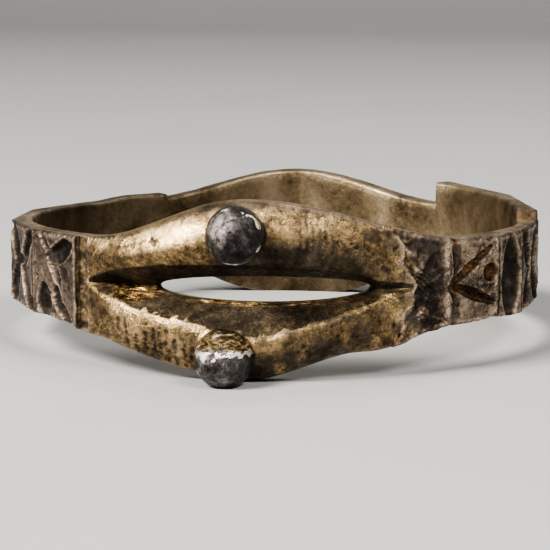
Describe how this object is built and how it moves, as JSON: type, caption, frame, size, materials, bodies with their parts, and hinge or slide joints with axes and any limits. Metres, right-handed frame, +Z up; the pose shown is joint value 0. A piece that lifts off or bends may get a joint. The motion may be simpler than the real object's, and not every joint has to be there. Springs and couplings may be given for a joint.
{
  "type": "finger ring",
  "caption": "Old silver finger ring, its band split at the front into arched branches that carry round pellets, with carved square panels on the shoulders and a plain back plate.",
  "frame": {"origin": "centre of the part's bounding box, on the plane the ring lies on", "axes": "+Z up through the finger hole, the bezel faces -Y, +X to the right of the bezel seen from outside"},
  "size_m": [0.0218, 0.0238, 0.0068],
  "materials": {
    "gilt_silver": "aged silver with brown-gold remains of gilding, satin, scratched and pitted, dark in the carving",
    "grey_silver": "dark grey tarnished silver, worn bright in spots"
  },
  "bodies": {
    "root": {"band": "gilt_silver", "upper_pellet": "grey_silver", "lower_pellet": "grey_silver"}
  },
  "joints": []
}
